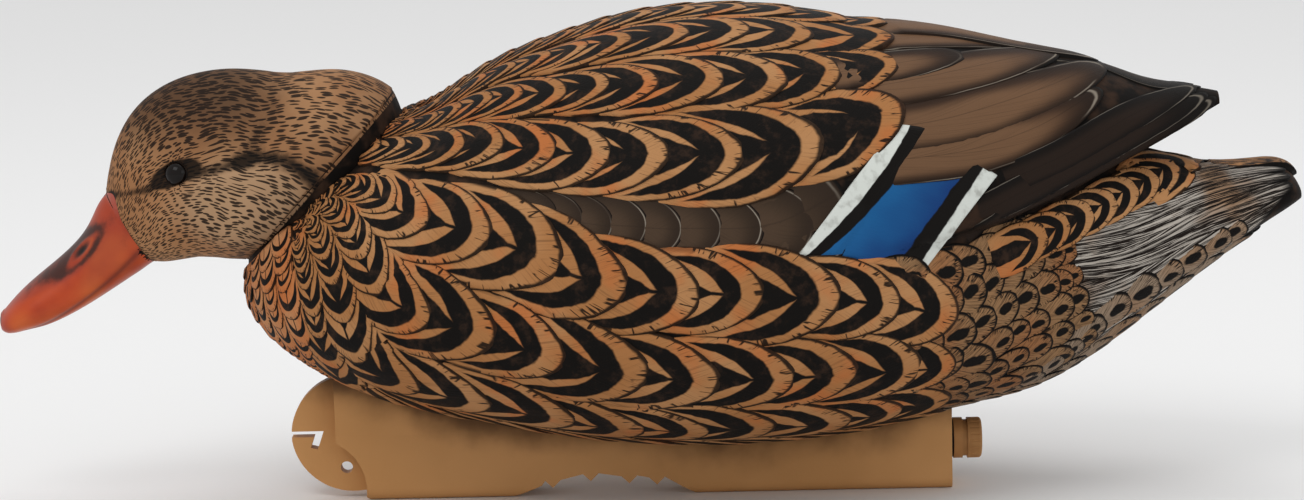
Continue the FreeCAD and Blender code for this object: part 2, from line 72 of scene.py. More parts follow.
LOOK_MARGIN = 0.15     # cosine from which a direction counts as in front of a face
FREE_SHARE = 0.3       # share of those directions that must meet nothing
LOOKS = [Vector((x, y, z)).normalized() for x in (-1, 0, 1) for y in (-1, 0, 1) for z in (-1, 0, 1)
         if (x, y, z) != (0, 0, 0)]


def looks_out(tree, centre, normal):
    """True where enough of the directions in front of a face meet nothing."""
    just_off = centre + normal * 2e-5
    ahead = [look for look in LOOKS if look.dot(normal) > LOOK_MARGIN]
    free = sum(tree.ray_cast(just_off, look)[0] is None for look in ahead)
    return free > FREE_SHARE * len(ahead)


def outer_skin(node, keep, solid_from=-1.0):
    """The kept faces of a CAD node that look outwards, and all of them past x = solid_from."""
    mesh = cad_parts[node].data
    places = [v.co.copy() for v in mesh.vertices]
    faces = [tuple(p.vertices) for p in mesh.polygons]
    tree = BVHTree.FromPolygons(places, faces)
    outside = []
    for polygon, face in zip(mesh.polygons, faces):
        centre, normal = polygon.center, polygon.normal
        if keep(centre) and (centre.x > solid_from or looks_out(tree, centre, normal)):
            outside.append(face)
    return BVHTree.FromPolygons(places, outside)


def below_the_rim(place):
    away = place - NECK_CENTRE
    return away.dot(NECK_AXIS) > RIM_DEPTH + RIM_LAND and away.length > SOCKET_REACH


def under_the_wings(place):
    return place.x < WING_TIPS[0] or place.z < WING_TIPS[1]


body_skin = outer_skin("body_shell", below_the_rim, SOLID_TAIL)
tail_skin = outer_skin("body_shell", under_the_wings, SOLID_TAIL)
head_skin = outer_skin("head_shell", lambda place: True)


def sight(x, z, lift=SIDE, turn=0.0):
    """Eye and direction of the sight line for a place."""
    rise, round_ = math.radians(lift), math.radians(turn)
    level = math.cos(rise)
    back = Vector((-math.sin(round_) * level, -math.cos(round_) * level, math.sin(rise)))
    eye = VIEW_CENTRE + back * VIEW_DISTANCE
    return eye, (Vector((x * MM, 0, z * MM)) - eye).normalized()


def smooth_line(points, t):
    """Catmull-Rom position at t (0 to 1) through control tuples."""
    spans = len(points) - 1
    i = min(int(t * spans), spans - 1)
    f = t * spans - i
    p1, p2 = points[i], points[i + 1]
    p0 = points[i - 1] if i > 0 else [2 * a - b for a, b in zip(p1, p2)]
    p3 = points[i + 2] if i + 2 <= spans else [2 * a - b for a, b in zip(p2, p1)]
    return [0.5 * (2 * b + (c - a) * f + (2 * a - 5 * b + 4 * c - d) * f * f
                   + (3 * b - a - 3 * c + d) * f ** 3)
            for a, b, c, d in zip(p0, p1, p2, p3)]


def met(skin, place):
    """Where a sight line first meets the skin on the near side, or nothing."""
    hit = skin.ray_cast(*sight(*place))[0]
    return hit if hit is not None and hit.y < PAST_THE_MIDDLE else None


def path_on(skin, controls, steps=48):
    """A line of points on the skin that follows the control places."""
    hits = [met(skin, smooth_line(controls, k / steps)) for k in range(steps + 1)]
    return [hit for hit in hits if hit is not None]


class Path:
    """A line on the skin, measured by length; it runs on straight past both ends."""

    def __init__(self, places):
        self.places = places
        self.steps = [0.0]
        for a, b in zip(places, places[1:]):
            self.steps.append(self.steps[-1] + (b - a).length)
        self.length = self.steps[-1]

    def at(self, s):
        """Place and unit direction at length s."""
        last = len(self.places) - 2
        i = min(max(int(np.searchsorted(self.steps, s)) - 1, 0), last)
        a, b = self.places[i], self.places[i + 1]
        along = b - a
        span = max(along.length, 1e-6)
        return a + along * ((s - self.steps[i]) / span), along / span


# ---------------------------------------------------------------- feathers

ACROSS = (-1.0, -0.97, -0.82, -0.58, -0.3, 0.0, 0.3, 0.58, 0.82, 0.97, 1.0)
ALONG = (0.0, 0.14, 0.28, 0.4, 0.5, 0.59, 0.67, 0.74, 0.81, 0.87, 0.92, 0.96, 0.985, 0.998, 1.0)
ALONG_PLUME = sorted(set(ALONG) | {i / 40 for i in range(41)})
WIDEST = 0.45          # share of a feather's length from its root to its widest place
EDGE_SINK = 0.0005     # how far a feather's edge goes below the skin
PANEL_SINK = 0.3       # the same for a painted panel, in millimetres
POINTED = 1.75         # outline power of the feathers with pointed tips
TIP_FROM = 0.86        # share of a feather's length from which its tip is rounded down
TIP_FALL = 0.4         # share of its height that the very tip loses
STAGGER = 0.004        # every second file of feathers starts this much later
SAMPLES = 24           # steps across a tract from one boundary line to the other
LEAST_HITS = 8         # a crossing with fewer places on the skin is left out


def new_object(name, data):
    thing = bpy.data.objects.new(name, data)
    bpy.context.scene.collection.objects.link(thing)
    return thing


class Coat:
    """Feathers gathered into one mesh piece."""

    def __init__(self, name, material, body="hull", slot="moulded_shell"):
        self.name, self.material, self.body, self.slot = name, material, body, slot
        self.places, self.faces, self.pattern, self.chance = [], [], [], []

    def grid(self, rows, uv_rows, chance):
        base, wide = len(self.places), len(rows[0])
        for row, uvs in zip(rows, uv_rows):
            self.places.extend(row)
            self.pattern.extend(uvs)
            self.chance.extend([chance] * wide)
        for r in range(len(rows) - 1):
            for c in range(wide - 1):
                a = base + r * wide + c
                self.faces.append((a, a + 1, a + wide + 1, a + wide))

    def make(self):
        """The left piece and its mirror image."""
        for side, tag in ((1, "left"), (-1, "right")):
            mesh = bpy.data.meshes.new(self.name + "_" + tag)
            faces = self.faces if side > 0 else [f[::-1] for f in self.faces]
            mesh.from_pydata([(p[0], p[1] * side, p[2]) for p in self.places], [], faces)
            corners = np.zeros(len(mesh.loops), int)
            mesh.loops.foreach_get("vertex_index", corners)
            for label, values in (("pattern", self.pattern), ("chance", self.chance)):
                layer = mesh.uv_layers.new(name=label)
                layer.data.foreach_set("uv", np.array(values, float)[corners].ravel())
            mesh.shade_smooth()
            mesh.materials.append(self.material)
            piece = new_object(self.name + "_" + tag, mesh)
            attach(piece, self.body)


def feather_outline(b, root=0.72, power=2.0):
    """Half width at a share b of the length, where the widest place is 1."""
    if b < WIDEST:
        t = b / WIDEST
        return root + (1 - root) * t * (2 - t)
    return max(0.0, 1 - ((b - WIDEST) / (1 - WIDEST)) ** power) ** (1 / power)


def tip_fall(b):
    """The share of its height that a feather has left at a share b of its length."""
    return 1 - TIP_FALL * max(0.0, (b - TIP_FROM) / (1 - TIP_FROM)) ** 2


def clear_of_neck(place):
    """The place, moved behind the seam and out from the neck ball."""
    away = place - NECK_CENTRE
    short = RIM_DEPTH + FEATHER_START - away.dot(NECK_AXIS)
    if short > 0:
        away += NECK_AXIS * short
    if away.length < BALL_CLEAR:
        away *= BALL_CLEAR / away.length
    return NECK_CENTRE + away


def lay_feather(coat, skin, path, tip, length, half_width, tilt=1.15, crown=0.65, lift=0.2,
                root=0.72, power=2.0, rise=0.0, skew=0.0, stations=ALONG, clear=below_the_rim):
    """One feather whose tip is at length `tip` on the path; its middle line follows the path.

    rise is the share of its length over which it comes up out of the skin; skew moves its tip
    sideways, in half widths."""
    rows, uv_rows = [], []
    for b in stations:
        centre, along = path.at(tip - (1 - b) * length)
        normal = skin.find_nearest(centre)[1]
        side = normal.cross(along).normalized()
        width = feather_outline(b, root, power)
        row, uvs = [], []
        for a in ACROSS:
            reach = (a * width + skew * b * b) * half_width
            place, face_normal = skin.find_nearest(centre + side * reach)[:2]
            height = (lift + tilt * b + crown * (1 - (a * width) ** 2)) * MM * tip_fall(b)
            if b < rise:
                height = height * (b / rise) ** 2 - EDGE_SINK * (1 - (b / rise) ** 2)
            if abs(a) == 1 or b in (0, 1):
                height = -EDGE_SINK
            row.append(place + face_normal * height)
            uvs.append((a * width * 0.5 + 0.5, b))
        rows.append(row)
        uv_rows.append(uvs)
    if clear and not clear(rows[-1][len(ACROSS) // 2]):
        return
    if clear:
        rows = [[clear_of_neck(place) for place in row] for row in rows]
    coat.grid(rows, uv_rows, (random.random(), random.random()))


def file_shares(widths):
    """Shares of the whole at the edges and middles of neighbouring files of the given widths."""
    shares = [0.0]
    for width in widths:
        shares += [shares[-1] + width / 2, shares[-1] + width]
    return [share / shares[-1] for share in shares]


def strips(skin, upper, lower, shares, stations=40):
    """Lines on the skin between two boundary lines, at the given shares of the way across."""
    lines = [[] for _ in shares]
    for k in range(stations + 1):
        first, last = smooth_line(upper, k / stations), smooth_line(lower, k / stations)
        hits = path_on(skin, [first, last], SAMPLES)
        if len(hits) < LEAST_HITS:
            continue
        across = Path(hits)
        for line, share in zip(lines, shares):
            line.append(across.at(across.length * share)[0])
    return lines


def lay_tract(name, materials, upper, lower, widths, pitch=1.15, spread=1.12, long=2.6, skin=body_skin,
              per_piece=2, jitter=0.06, turn=0.1, **shape):
    """Files of overlapping feathers between two boundary lines that have the same number of places.

    Each file is as wide as its share in widths. pitch and long are multiples of a feather's half
    width, jitter is how much sizes and steps vary, and turn is how far a tip may move sideways.
    Each piece holds per_piece files and takes the next material."""
    lines = strips(skin, upper, lower, file_shares(widths))
    for first in range(0, len(widths), per_piece):
        number = first // per_piece
        coat = Coat(name + "_" + str(number + 1), materials[number % len(materials)])
        for k in range(first, min(first + per_piece, len(widths))):
            path = Path(lines[2 * k + 1])
            last = len(path.places) - 1
            s = STAGGER * (k % 2)
            while s < path.length:
                near = min(max(int(s / path.length * last), 0), last)
                room = (lines[2 * k][near] - lines[2 * k + 2][near]).length
                half = 0.5 * room * spread * random.uniform(1 - jitter, 1 + jitter)
                s += half * pitch * random.uniform(1 - jitter, 1 + jitter)
                skew = random.uniform(-turn, turn)
                if path.length - s < 0.5 * half * pitch:
                    lay_feather(coat, skin, path, path.length, half * long, half, **shape)
                    break
                lay_feather(coat, skin, path, s, half * long, half, skew=skew, **shape)
        coat.make()


def lay_plume(coat, controls, half_width, skin=body_skin, **shape):
    """One long feather along its own control places, root first."""
    path = Path(path_on(skin, controls))
    lay_feather(coat, skin, path, path.length, path.length, half_width * MM, stations=ALONG_PLUME, **shape)


def panel(name, material, upper, lower, lifts, steps=(80, 30)):
    """A smooth painted area between two lines; lifts gives its height at shares of the lines' length."""
    coat = Coat(name, material)
    rows, uv_rows = [], []
    for j in range(steps[1] + 1):
        v = j / steps[1]
        row, uvs = [], []
        for i in range(steps[0] + 1):
            u = i / steps[0]
            a, b = smooth_line(upper, u), smooth_line(lower, u)
            place, normal = body_skin.ray_cast(*sight(*[p + (q - p) * v for p, q in zip(a, b)]))[:2]
            edge = j in (0, steps[1]) or i in (0, steps[0])
            lift = np.interp(u, *lifts)
            row.append(place + normal * (-PANEL_SINK if edge else lift) * MM)
            uvs.append((u, v))
        rows.append(row)
        uv_rows.append(uvs)
    coat.grid([r[::-1] for r in rows], [r[::-1] for r in uv_rows], (0.5, 0.5))
    coat.make()


# ---------------------------------------------------------------- materials

def paint(red, green, blue):
    """A colour from everyday 0 to 255 values, as the shaders want it."""
    values = [c / 255 for c in (red, green, blue)]
    return tuple(c / 12.92 if c <= 0.04045 else ((c + 0.055) / 1.055) ** 2.4 for c in values) + (1.0,)


TAN = paint(162, 111, 67)
PALE_TAN = paint(174, 127, 84)
RUST = paint(182, 102, 52)
BLACK = paint(15, 12, 10)
DARK_BROWN = paint(54, 38, 28)
PALE_EDGE = paint(156, 146, 132)
WHITE = paint(204, 208, 202)
BLUE = paint(26, 88, 140)
DARK_BLUE = paint(18, 50, 106)
ORANGE = paint(178, 66, 26)
# The bill's painted highlight.
ORANGE_HIGHLIGHT = paint(206, 112, 52)
BRICK = paint(150, 48, 24)


class Shader:
    """Short calls that build one material's nodes."""

    def __init__(self, name, roughness=0.62, shine=0.08):
        self.material = bpy.data.materials.new(name)
        self.material.use_nodes = True
        self.tree = self.material.node_tree
        self.surface = self.tree.nodes["Principled BSDF"]
        self.surface.inputs["Roughness"].default_value = roughness
        self.surface.inputs["Specular IOR Level"].default_value = shine

    def put(self, socket, value):
        if isinstance(value, bpy.types.NodeSocket):
            self.tree.links.new(value, socket)
        else:
            socket.default_value = value

    def node(self, kind, inputs, **settings):
        """The outputs of a new node; its inputs are values or other nodes' outputs."""
        node = self.tree.nodes.new(kind)
        for key, value in settings.items():
            setattr(node, key, value)
        for key, value in inputs.items():
            self.put(node.inputs[key], value)
        return node.outputs

    def math(self, operation, *values):
        return self.node("ShaderNodeMath", dict(enumerate(values)), operation=operation)[0]

    plus = partialmethod(math, "ADD")
    minus = partialmethod(math, "SUBTRACT")
    times = partialmethod(math, "MULTIPLY")
    times_plus = partialmethod(math, "MULTIPLY_ADD")
    power = partialmethod(math, "POWER")
    larger = partialmethod(math, "MAXIMUM")
    absolute = partialmethod(math, "ABSOLUTE")

    def mix(self, share, first, second, strength=1.0):
        """The first colour with a share of the second over it, at most `strength` of it."""
        if strength < 1.0:
            share = self.times(share, strength)
        return self.node("ShaderNodeMix", {0: share, 6: first, 7: second}, data_type="RGBA")[2]

    def split(self, vector):
        return self.node("ShaderNodeSeparateXYZ", {0: vector})

    def vector(self, *parts):
        return self.node("ShaderNodeCombineXYZ", dict(enumerate(parts)))[0]

    def uv(self, name):
        return self.split(self.node("ShaderNodeUVMap", {}, uv_map=name)[0])[:2]

    def masks(self):
        return self.split(self.node("ShaderNodeVertexColor", {}, layer_name="masks")["Color"])[:3]

    def place(self):
        return self.node("ShaderNodeTexCoord", {})["Object"]

    def noise(self, vector, scale, detail=2.0, rough=0.5):
        inputs = {"Vector": vector, "Scale": scale, "Detail": detail, "Roughness": rough}
        return self.node("ShaderNodeTexNoise", inputs)["Fac"]

    def ripple(self, vector, scale, detail=2.0, rough=0.5):
        """Noise about zero, from -0.5 to 0.5."""
        return self.minus(self.noise(vector, scale, detail, rough), 0.5)

    def patches(self, vector, scale, low, high, detail=2.0, rough=0.5):
        """Soft patches: 0 where the noise is below `low`, and 1 above `high`."""
        return self.ease(self.noise(vector, scale, detail, rough), low, high)

    def cells(self, vector, randomness):
        """Distance from the nearest of many scattered points, one per unit square, and its chance."""
        inputs = {"Vector": vector, "Scale": 1.0, "Randomness": randomness}
        cell = self.node("ShaderNodeTexVoronoi", inputs, voronoi_dimensions="2D")
        return cell["Distance"], self.split(cell["Color"])[0]

    def ease(self, value, low, high):
        """0 below `low`, 1 above `high`, smooth between; it falls if low is above high."""
        first, last = (0.0, 1.0) if low <= high else (1.0, 0.0)
        inputs = {"Value": value, "From Min": min(low, high), "From Max": max(low, high),
                  "To Min": first, "To Max": last}
        return self.node("ShaderNodeMapRange", inputs, interpolation_type="SMOOTHSTEP")[0]

    def band(self, value, centre, width, soft):
        """1 where value is within width/2 of centre."""
        off = self.absolute(self.minus(value, centre))
        return self.ease(off, width / 2 + soft, width / 2 - soft)

    def finish(self, colour, height=None, depth=0.0003, strength=0.5):
        self.put(self.surface.inputs["Base Color"], colour)
        if height is not None:
            inputs = {"Strength": strength, "Distance": depth, "Height": height}
            self.put(self.surface.inputs["Normal"], self.node("ShaderNodeBump", inputs)[0])
        return self.material


def feather_coordinates(s, power=2.0):
    """Across (-1 to 1), along (0 to 1), ahead (0 at the widest place, 1 at the tip), distance from
    the widest place's middle (1 at the edge), angle about it, and the feather's own two chances."""
    u, v = s.uv("pattern")
    one, two = s.uv("chance")
    across = s.times_plus(u, 2.0, -1.0)
    ahead = s.larger(s.math("DIVIDE", s.minus(v, WIDEST), 1 - WIDEST), 0.0)
    far = s.power(s.plus(s.power(s.absolute(across), power), s.power(ahead, power)), 1 / power)
    angle = s.math("ARCTAN2", across, s.plus(ahead, 0.05))
    return across, v, ahead, far, angle, one, two


def barbs(s, across, along, one):
    """Fine lines that run out and back from the shaft."""
    outward = s.times(s.absolute(across), 15.4)
    slant = s.times_plus(along, -22.4, outward)
    lines = s.vector(slant, s.times(across, 0.8), s.times(one, 9.0))
    return s.noise(lines, 2.2, 3.0, 0.6)


def barred_paint(name, margin=(0.7, 0.8), bar=(0.45, 0.57), tan=TAN, pale=PALE_TAN, warm=RUST, heart=0.36,
                 power=POINTED):
    """Tan feathers with a black crescent, two inner tan petals and a dark heart.

    margin and bar give the crescent's outer and inner edge, at the tip and at the sides, and heart
    gives the dark middle's size."""
    s = Shader(name)
    across, along, ahead, far, angle, one, two = feather_coordinates(s, power)
    place = s.place()
    level = s.absolute(across)
    wobble = s.ripple(place, 200.0)
    ring = s.times_plus(wobble, 0.09, far)
    fine = barbs(s, across, along, one)
    # Tan, warmer or paler from place to place.
    ground = s.mix(s.patches(place, 34.0, 0.4, 0.66), tan, pale)
    ground = s.mix(s.patches(place, 60.0, 0.48, 0.7), ground, warm, 0.7)
    ground = s.mix(s.ease(fine, 0.52, 0.7), ground, DARK_BROWN, 0.35)
    # The crescent is widest at the tip, and its arms thin out towards the root.
    square = s.times(across, across)
    sides = s.math("DIVIDE", square, s.plus(s.times_plus(ahead, ahead, square), 0.001))
    drift = s.times_plus(s.minus(one, 0.5), 0.07, ring)
    outer_edge = s.times_plus(sides, margin[1] - margin[0], margin[0])
    inner_edge = s.times_plus(sides, bar[1] - bar[0], bar[0])
    thin = s.times(s.ease(along, WIDEST + 0.05, 0.16), margin[1] - bar[1] + 0.02)
    inner_edge = s.plus(inner_edge, thin)
    outer = s.ease(s.minus(drift, outer_edge), 0.018, -0.018)
    # The petals inside it come to a point.
    arch = s.times_plus(s.plus(level, ahead), 0.46, s.times(drift, 0.5))
    inner = s.ease(s.minus(arch, inner_edge), -0.016, 0.016)
    crescent = s.times(outer, inner)
    heart_far = s.times_plus(wobble, 0.1, s.times_plus(ahead, 0.8, level))
    heart_edge = s.times_plus(s.minus(two, 0.5), 0.22, heart)
    middle = s.ease(s.minus(heart_far, heart_edge), 0.02, -0.02)
    shaft = s.ease(s.absolute(s.times_plus(wobble, 0.06, across)), 0.055, 0.02)
    shaft = s.times(shaft, s.ease(s.minus(far, outer_edge), 0.0, -0.04))
    dark = s.larger(crescent, s.larger(middle, shaft))
    # Short dark nicks run in from the edge, which has a dark line round it.
    spokes = s.vector(s.times(angle, 6.0), s.times(one, 31.0), s.times(far, 0.8))
    nicks = s.band(s.noise(spokes, 1.0), 0.5, 0.045, 0.012)
    reach = s.noise(s.vector(s.times(angle, 4.0), s.times(two, 47.0)), 1.0, 1.0)
    nicks = s.times(nicks, s.ease(s.times_plus(reach, 0.45, far), 1.06, 1.1))
    # The dark line round the edge is partly a painted outline and partly painted shade in the crevice
    # between feathers.
    rim = s.ease(s.times_plus(wobble, 0.07, far), 0.92, 0.96)
    nicks_and_edge_shade = s.times(s.larger(nicks, rim), 0.95)
    ink = s.mix(s.patches(place, 170.0, 0.48, 0.75, 4.0, 0.7), BLACK, DARK_BROWN, 0.8)
    colour = s.mix(s.larger(dark, nicks_and_edge_shade), ground, ink)
    return s.finish(colour, fine, 0.00025, 0.6)


def plain_paint(name, base, light, dark, line=PALE_EDGE, line_at=0.93, line_width=0.03, line_share=0.6):
    """Brown flight feathers, lighter in the middle as a painted highlight and darker at the edge as painted
    shade, with a thin pale line inside the edge.
    """
    s = Shader(name, 0.55)
    across, along, _, far, _, one, _ = feather_coordinates(s)
    place = s.place()
    wobble = s.ripple(place, 160.0)
    fine = barbs(s, across, along, one)
    # Painted highlight: the tone rises towards the middle of the feather and towards one side.
    tone = s.times_plus(s.ripple(place, 30.0), 0.7, s.ease(far, 1.0, 0.1))
    tone = s.plus(tone, s.times_plus(across, -0.35, 0.1))
    colour = s.mix(s.ease(tone, 0.2, 0.95), base, light)
    # Painted shade: darker towards the edge.
    colour = s.mix(s.ease(far, 0.55, 0.93), colour, dark, 0.8)
    colour = s.mix(s.ease(fine, 0.5, 0.75), colour, dark, 0.3)
    shaft = s.band(across, 0.0, 0.03, 0.012)
    colour = s.mix(shaft, colour, dark, 0.35)
    edge = s.band(s.times_plus(wobble, 0.04, far), line_at, line_width, 0.012)
    faint = s.times(s.patches(place, 55.0, 0.35, 0.6, 1.0), line_share)
    colour = s.mix(s.times(edge, faint), colour, line)
    # The black rim at the very edge: partly a painted outline, partly painted shade.
    rim = s.ease(far, line_at + line_width, line_at + line_width + 0.03)
    colour = s.mix(rim, colour, BLACK)
    return s.finish(colour, fine, 0.0002, 0.5)


def spotted_paint(name, base, warm, streak):
    """Small round feathers with a black spot, dark strokes at the edge and a dark rim."""
    s = Shader(name)
    across, along, ahead, far, angle, one, two = feather_coordinates(s)
    place = s.place()
    wobble = s.ripple(place, 260.0)
    fine = barbs(s, across, along, one)
    colour = s.mix(s.patches(place, 40.0, 0.4, 0.65), base, warm)
    colour = s.mix(s.ease(fine, 0.48, 0.64), colour, DARK_BROWN, streak)
    drift = s.minus(across, s.times_plus(two, 0.3, -0.15))
    spot = s.power(s.plus(s.power(s.times(drift, 1.25), 2.0), s.power(s.minus(ahead, 0.42), 2.0)), 0.5)
    dark = s.ease(s.times_plus(wobble, 0.3, spot), 0.34, 0.26)
    spokes = s.vector(s.times(angle, 6.0), s.times(one, 29.0), far)
    stroke = s.band(s.noise(spokes, 1.0), 0.5, 0.06, 0.015)
    stroke = s.times(stroke, s.ease(far, 0.62, 0.74))
    rim = s.ease(s.times_plus(wobble, 0.1, far), 0.84, 0.93)
    colour = s.mix(s.larger(dark, s.larger(stroke, rim)), colour, BLACK)
    return s.finish(colour, fine, 0.0003, 0.7)


def streaked_paint(name, pale, warm):
    """Tail feathers: whitish streaks over dark brown, parallel to the shaft and fanning out."""
    s = Shader(name)
    across, along, _, far, _, one, _ = feather_coordinates(s)
    place = s.place()
    level = s.absolute(across)
    fan = s.minus(s.times(level, 6.0), s.times(along, 5.0))
    lines = s.vector(fan, s.times(across, 3.0), s.times(one, 9.0))
    fine = s.noise(lines, 2.4, 3.0, 0.65)
    ground = s.mix(s.patches(place, 46.0, 0.5, 0.68), pale, warm)
    colour = s.mix(s.ease(fine, 0.49, 0.57), paint(28, 21, 17), ground)
    shaft = s.band(across, 0.0, 0.08, 0.02)
    colour = s.mix(shaft, colour, ground, 0.8)
    beside = s.band(level, 0.14, 0.09, 0.03)
    colour = s.mix(beside, colour, BLACK, 0.6)
    rim = s.ease(far, 0.88, 0.98)
    colour = s.mix(rim, colour, BLACK)
    return s.finish(colour, fine, 0.0005, 0.9)


def speculum_paint():
    """White, black, blue, black and white bars across the wing."""
    s = Shader("speculum_paint", 0.42)
    u, v = s.uv("pattern")
    place = s.place()
    wobble = s.ripple(place, 200.0, 3.0)
    t = s.times_plus(wobble, 0.035, u)
    # The bars' ends, as shares of the panel's length. The front white bar is widest in the middle.
    bulge = s.times(s.times(v, s.minus(1.0, v)), 0.42)
    front_white = s.plus(s.times_plus(v, -0.08, 0.15), bulge)
    front_black = s.plus(front_white, s.times_plus(v, -0.03, 0.17))
    rear_black = s.times_plus(v, -0.02, 0.78)
    rear_white = s.times_plus(v, 0.05, 0.87)
    sheen = s.times_plus(s.ripple(place, 50.0), 0.5, u)
    blue = s.mix(s.ease(sheen, 0.35, 0.85), BLUE, DARK_BLUE)
    white = s.mix(s.patches(place, 300.0, 0.45, 0.75, 3.0), WHITE, paint(168, 170, 164))
    colour, soft = white, 0.006
    for start, bar in ((front_white, BLACK), (front_black, blue), (rear_black, BLACK), (rear_white, white)):
        colour = s.mix(s.ease(s.minus(t, start), -soft, soft), colour, bar)
    lines = s.noise(s.vector(s.times(u, 4.0), s.times(v, 70.0)), 1.0)
    return s.finish(colour, lines, 0.0002, 0.5)


def groove_shade_paint():
    """The dark paint that shows between the feathers and at the neck's seam: partly painted shade in those
    gaps.
    """
    s = Shader("groove_shade_paint", 0.7)
    place = s.place()
    colour = s.mix(s.patches(place, 120.0, 0.4, 0.7, 3.0), BLACK, DARK_BROWN)
    return s.finish(colour, s.noise(place, 500.0, 3.0), 0.0002, 0.5)


def keel_paint():
    """Bare tan plastic, darkened with painted shade where it meets the body."""
    s = Shader("keel_paint", 0.5)
    place = s.place()
    x, _, z = s.split(place)
    ground = s.mix(s.patches(place, 26.0, 0.3, 0.7), paint(200, 150, 98), paint(188, 139, 88))
    # Painted shade under the body: dark above a ragged line near the body, which rises towards the keel's
    # ends.
    ragged_height = s.times_plus(s.ripple(place, 40.0, 4.0), 0.022, z)
    belly = s.times(s.power(s.plus(x, -0.02), 2.0), 1.1)
    body_shade = s.ease(s.minus(ragged_height, belly), 0.009, 0.024)
    colour = s.mix(body_shade, ground, paint(66, 44, 30), 0.9)
    return s.finish(colour, s.noise(place, 900.0), 0.00012, 0.35)


def plug_paint():
    s = Shader("plug_paint", 0.5)
    place = s.place()
    colour = s.mix(s.patches(place, 90.0, 0.3, 0.7), paint(178, 132, 84), paint(156, 112, 70))
    return s.finish(colour, s.noise(place, 900.0), 0.0001, 0.3)


def eye_paint():
    """Glossy, and so dark that iris and pupil hardly differ."""
    s = Shader("eye_paint", 0.12, 0.18)
    return s.finish(s.mix(s.noise(s.place(), 700.0), paint(6, 4, 4), paint(20, 12, 8)))


def simple_paint(name, colour, other, roughness, scale=300.0, metal=0.0):
    s = Shader(name, roughness)
    s.surface.inputs["Metallic"].default_value = metal
    grain = s.noise(s.place(), scale, 3.0)
    return s.finish(s.mix(grain, colour, other), grain, 0.0001, 0.3)


# ---------------------------------------------------------------- head

# Fans of section planes from the bill to the neck and from the face to the bill's tip: top x, z and
# bottom x, z. The head's last plane is on the ball's rim, and the bill's first is behind the face.
HEAD_FAN = [(-178.6, 104.0, -163.5, 81.5), (-177.4, 109.0, -160.0, 81.2), (-174.9, 118.6, -155.5, 81.6),
            (-167.6, 131.4, -151.5, 82.2), (-154.4, 140.4, -148.7, 82.6), (-136.0, 143.7, -146.4, 82.6),
            (-118.2, 142.2, -142.3, 82.4), (-100.0, 142.2, -138.1, 82.0), (-83.2, 135.2, -132.4, 81.7),
            (-82.2, 134.3, -131.4, 80.8)]
NECK_EDGE = 8 / 9      # the neck's edge, as a share of the head's fan
BILL_FAN = [(-177.4, 109.0, -160.0, 81.2), (-179.2, 104.2, -163.9, 80.9), (-184.4, 93.6, -174.0, 74.5),
            (-190.5, 86.1, -183.0, 68.9), (-197.2, 80.4, -191.5, 64.2), (-203.6, 75.3, -200.0, 60.7),
            (-209.4, 70.0, -207.0, 59.1), (-213.2, 65.8, -212.0, 58.2), (-214.9, 63.6, -214.5, 59.7)]
WAIST = 0.45           # height of the rings' middle in a section plane
FACE_NOTCH = 0.098     # how far the bill reaches up into the face, as a share of the head's fan
NOTCH_TURN = 52        # degrees up from level to the notch's deepest place
NOTCH_WIDTH = 20
RUN_ROUNDS = 60        # smoothing of the painted strokes' flow

# Places on the head's side, x and z.
EYE = (-152.8, 112.6)
NOSTRIL = (-186.4, 85.4)
CHEEK = (-129.5, 102.5)
NAPE = (-98.0, 129.0)
EYE_STRIPE = [(-175, 104.4), (-163, 106.6), (-152.5, 111), (-141, 113.5), (-131, 116), (-124, 118),
              (-116, 117), (-107.5, 111.5), (-102.5, 104.5)]
NAPE_FOLD = [(-119, 140), (-121, 134), (-125, 126), (-131, 117)]
CHEEK_REAR = [(-102.5, 104.5), (-103.5, 99), (-106, 94.5), (-117, 86.5)]


def distance_to(x, z, line):
    """Distance of many side-view points from a line of places, and the share along it."""
    best = np.full(x.shape, np.inf)
    share = np.zeros(x.shape)
    for k, ((ax, az), (bx, bz)) in enumerate(zip(line, line[1:])):
        ux, uz = bx - ax, bz - az
        t = np.clip(((x - ax) * ux + (z - az) * uz) / (ux * ux + uz * uz), 0, 1)
        d = np.hypot(x - ax - t * ux, z - az - t * uz)
        share = np.where(d < best, (k + t) / (len(line) - 1), share)
        best = np.minimum(best, d)
    return best, share


def bell(distance, width):
    """1 at no distance, falling to nearly 0 at twice the width."""
    return np.exp(-(distance / width) ** 2)


def ease(value, low, high):
    """0 before `low`, 1 past `high`, smooth between; it falls if low is above high."""
    t = np.clip((value - low) / (high - low), 0, 1)
    return t * t * (3 - 2 * t)


def fan_grid(fan, rows, columns, starts):
    """Places and outward directions on the head's skin, in rings; starts is each column's first share."""
    grid, outwards = [], []
    for i in range(rows + 1):
        ring, normals = [], []
        for j in range(columns):
            tx, tz, bx, bz = smooth_line(fan, starts[j] + (1 - starts[j]) * i / rows)
            low, up = Vector((bx * MM, 0, bz * MM)), Vector(((tx - bx) * MM, 0, (tz - bz) * MM))
            height = up.length
            up.normalize()
            centre = low + up * height * WAIST
            turn = 2 * math.pi * j / columns
            way = Vector((0, math.cos(turn), 0)) + up * math.sin(turn)
            place, normal = head_skin.ray_cast(centre + way * OUTSIDE, -way)[:2]
            ring.append(place)
            normals.append(normal)
        grid.append(ring)
        outwards.append(normals)
    return grid, outwards


def neighbour_means(values):
    """The means of each value's two neighbours round its ring and between the rings."""
    beside = (np.roll(values, 1, 1) + np.roll(values, -1, 1)) / 2
    between = values.copy()
    between[1:-1] = (values[:-2] + values[2:]) / 2
    return beside, between


